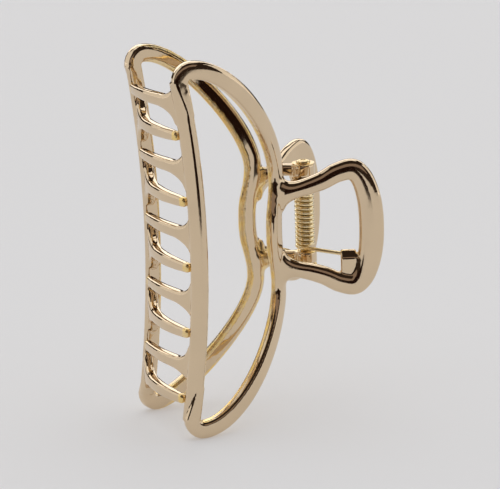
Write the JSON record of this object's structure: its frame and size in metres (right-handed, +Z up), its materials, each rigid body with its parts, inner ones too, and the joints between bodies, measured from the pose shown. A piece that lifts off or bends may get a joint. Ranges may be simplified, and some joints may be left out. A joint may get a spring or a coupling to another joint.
{
  "type": "claw clip",
  "caption": "Large metal hair claw clip: two curved open jaws with long teeth on a sprung hinge, opened by pressing two loop handles.",
  "frame": {"origin": "on the surface the clip stands on, under the middle of its box", "axes": "+Z up, along the hinge pin; -X towards the teeth, +X towards the handles; -Y towards the front jaw, +Y towards the back jaw"},
  "size_m": [0.06, 0.037, 0.1],
  "materials": {
    "plated_casting": "polished champagne-gold plating",
    "plated_pin": "polished champagne-gold plating",
    "spring_wire": "gold-plated drawn wire"
  },
  "bodies": {
    "front": {"front_jaw": "plated_casting", "hinge_pin": "plated_pin", "spring_coil": "spring_wire", "spring_arm_front": "spring_wire"},
    "back": {"back_jaw": "plated_casting", "spring_arm_back": "spring_wire"}
  },
  "joints": [
    {"name": "jaw_hinge", "type": "hinge", "parent": "front", "child": "back", "pos_m": [0.01562, 0, 0.05], "axis": [0, 0, -1], "range_deg": [0, 95], "stiffness_Nm_per_rad": 0.087, "springref_deg": -89.95}
  ]
}
